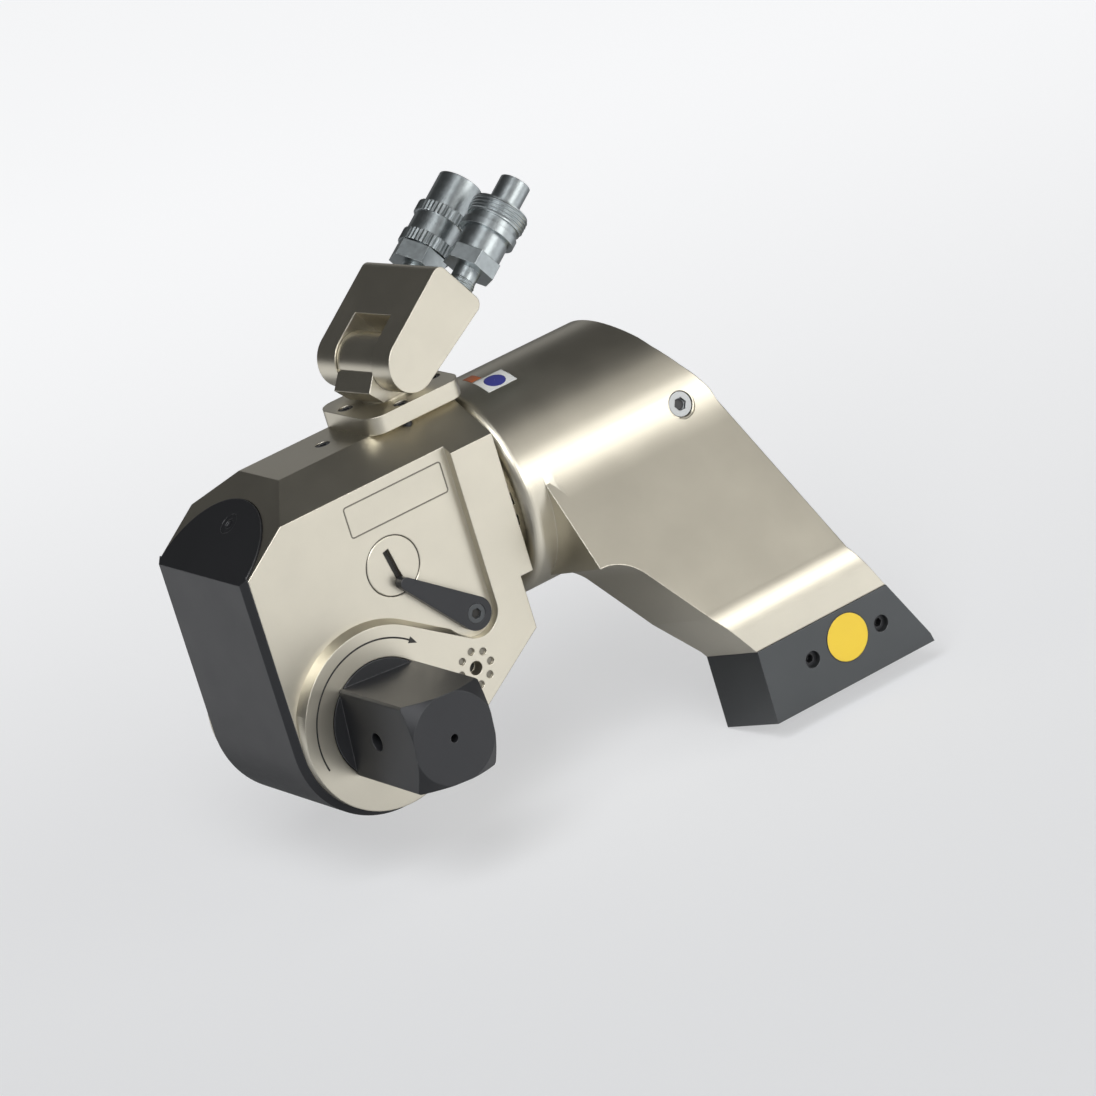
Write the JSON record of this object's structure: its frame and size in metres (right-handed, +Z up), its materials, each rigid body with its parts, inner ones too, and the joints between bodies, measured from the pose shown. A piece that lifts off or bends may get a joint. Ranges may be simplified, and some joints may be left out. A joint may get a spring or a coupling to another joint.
{
  "type": "hydraulic torque wrench",
  "caption": "Square-drive hydraulic torque wrench with a splined reaction arm, ratchet release lever and tilting hose swivel.",
  "frame": {"origin": "on the axis of the square drive, in the middle of the head", "axes": "-Y points out of the square drive, +X runs along the hydraulic cylinder to its rear, +Z is up"},
  "size_m": [0.2725, 0.1488, 0.2508],
  "materials": {
    "nickel": "satin nickel plating",
    "steel": "ground",
    "hardened": "hardened and oiled",
    "black_oxide": "black oxide, satin",
    "bronze": "machined",
    "chrome": "polished",
    "zinc": "bright zinc plating",
    "seal": "matt"
  },
  "bodies": {
    "body": {"housing": "nickel", "shroud": "black_oxide", "shroud_screws": "black_oxide", "access_plug": "nickel", "top_port_plug": "black_oxide", "drive_sleeve_front": "bronze", "drive_sleeve_rear": "bronze", "rod_gland": "bronze", "rod_seal": "seal", "end_cap": "hardened", "end_cap_seal": "seal", "swivel_base": "nickel", "swivel_base_screws": "black_oxide"},
    "ram": {"piston_rod": "chrome", "piston": "steel", "piston_seal": "seal", "piston_nut": "hardened"},
    "crank": {"drive_plates": "hardened", "drive_pawl": "hardened", "drive_pawl_pins": "steel", "crank_pin": "steel"},
    "drive": {"square_drive": "black_oxide", "ratchet_wheel": "hardened", "drive_retainer": "black_oxide", "button_spring": "steel"},
    "button": {"retainer_button": "steel"},
    "lever": {"holding_pawl": "hardened", "pawl_shaft": "steel", "pawl_spring": "steel", "release_lever": "black_oxide", "lever_screw": "black_oxide"},
    "arm": {"reaction_arm": "nickel", "arm_lock_screw": "steel", "reaction_foot": "black_oxide", "foot_screws": "black_oxide"},
    "post": {"swivel_post": "nickel", "swivel_seals": "seal"},
    "yoke": {"swivel_yoke": "nickel", "yoke_pin": "steel", "yoke_pin_plug": "hardened", "socket_coupler_body": "zinc", "plug_coupler_body": "zinc", "plug_coupler_ring": "zinc", "plug_coupler_nipple": "zinc"},
    "collar": {"socket_coupler_collar": "zinc"}
  },
  "joints": [
    {"name": "piston_stroke", "type": "slide", "parent": "body", "child": "ram", "axis": [-1, 0, 0], "range_m": [0, 0.024]},
    {"name": "crank_swing", "type": "hinge", "parent": "body", "child": "crank", "pos_m": [0, 0, 0], "axis": [0, -1, 0], "range_deg": [0, 24.75]},
    {"name": "drive_spin", "type": "hinge", "parent": "body", "child": "drive", "pos_m": [0, 0, 0], "axis": [0, -1, 0], "continuous": true},
    {"name": "retainer_button_press", "type": "slide", "parent": "drive", "child": "button", "axis": [0, -1, 0], "range_m": [0, 0.0025], "stiffness_N_per_m": 1500, "springref_m": -0.003, "deforming": ["button_spring"]},
    {"name": "lever_release", "type": "hinge", "parent": "body", "child": "lever", "pos_m": [0.0542, 0, 0.0232], "axis": [0, 1, 0], "range_deg": [0, 12], "stiffness_Nm_per_rad": 0.6, "springref_deg": -20.05},
    {"name": "swivel_turn", "type": "hinge", "parent": "body", "child": "post", "pos_m": [0.0662, 0, 0.11], "axis": [0, 0, 1], "continuous": true},
    {"name": "swivel_tilt", "type": "hinge", "parent": "post", "child": "yoke", "pos_m": [0.0662, 0, 0.1284], "axis": [-0.1392, 0.9903, 0], "range_deg": [-120, 8]},
    {"name": "collar_spin", "type": "hinge", "parent": "yoke", "child": "collar", "pos_m": [0.12318, 0.02568, 0.15902], "axis": [0.8305, 0.1167, 0.5446], "continuous": true},
    {"name": "arm_slide", "type": "slide", "parent": "body", "child": "arm", "axis": [1, 0, 0], "range_m": [0, 0.09]}
  ],
  "couplings": [
    {"joint": "crank_swing", "follows": "piston_stroke", "rad_per_m": 17.997}
  ]
}
